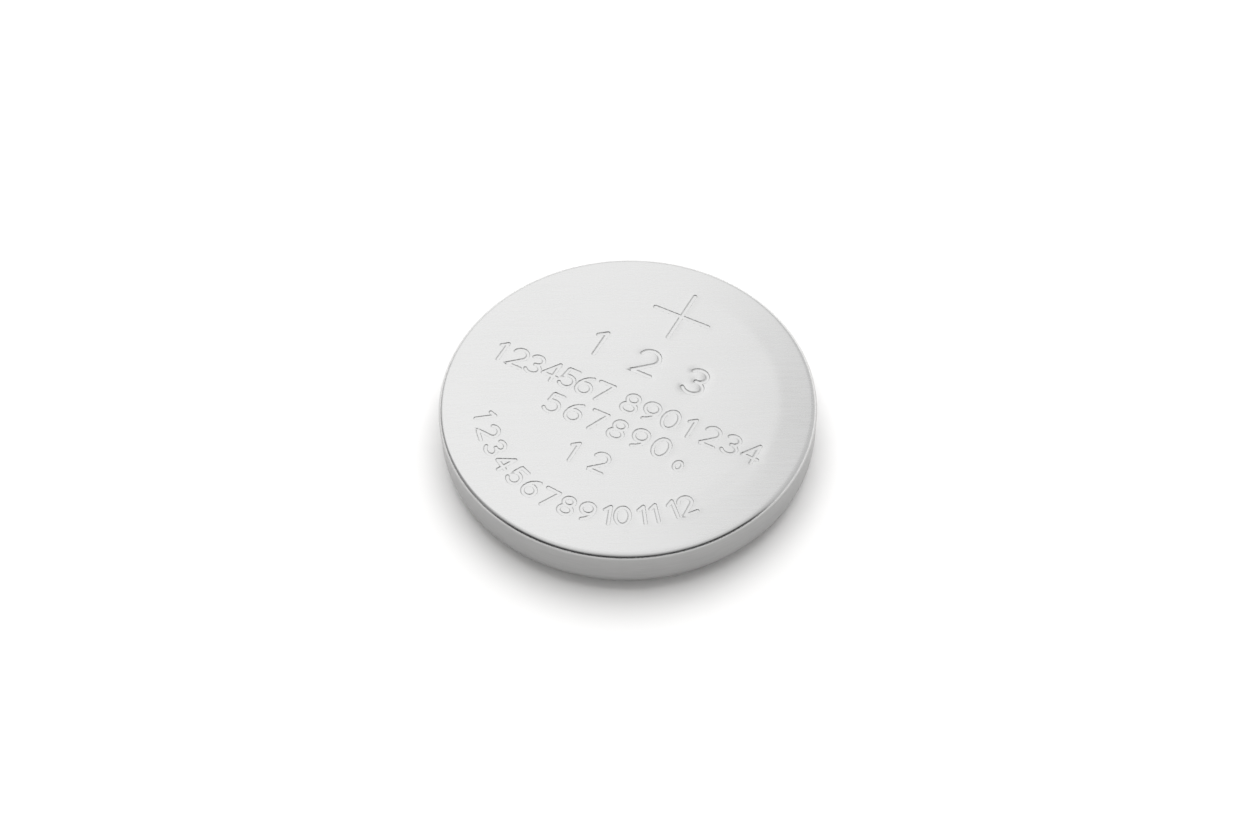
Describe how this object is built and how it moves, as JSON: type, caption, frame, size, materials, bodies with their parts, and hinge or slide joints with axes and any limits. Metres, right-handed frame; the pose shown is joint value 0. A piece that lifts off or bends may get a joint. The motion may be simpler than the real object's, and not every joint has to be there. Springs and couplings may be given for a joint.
{
  "type": "lithium coin cell",
  "caption": "Round flat lithium coin cell with a crimped steel can as the positive side and a stepped steel cap as the negative side.",
  "frame": {"origin": "centre of the negative contact face, which is the lowest face", "axes": "+Z runs through the cell from the negative cap to the positive face; X and Y lie in the contact face, and +X is to the right when the cell is seen as in the picture"},
  "size_m": [0.02, 0.02, 0.0032],
  "materials": {
    "nickel_steel": "fine brushed nickel plate",
    "cap_steel": "satin nickel plate",
    "gasket_plastic": "moulded polypropylene with a thin coat of sealant",
    "lithium": "dull soft foil",
    "separator_felt": "non-woven felt",
    "pressed_pellet": "matt pressed powder",
    "ring_steel": "bare stainless sheet"
  },
  "bodies": {
    "root": {"positive_can": "nickel_steel", "negative_cap": "cap_steel", "gasket": "gasket_plastic", "lithium_anode": "lithium", "separator": "separator_felt", "cathode_pellet": "pressed_pellet", "collector_ring": "ring_steel"}
  },
  "joints": []
}
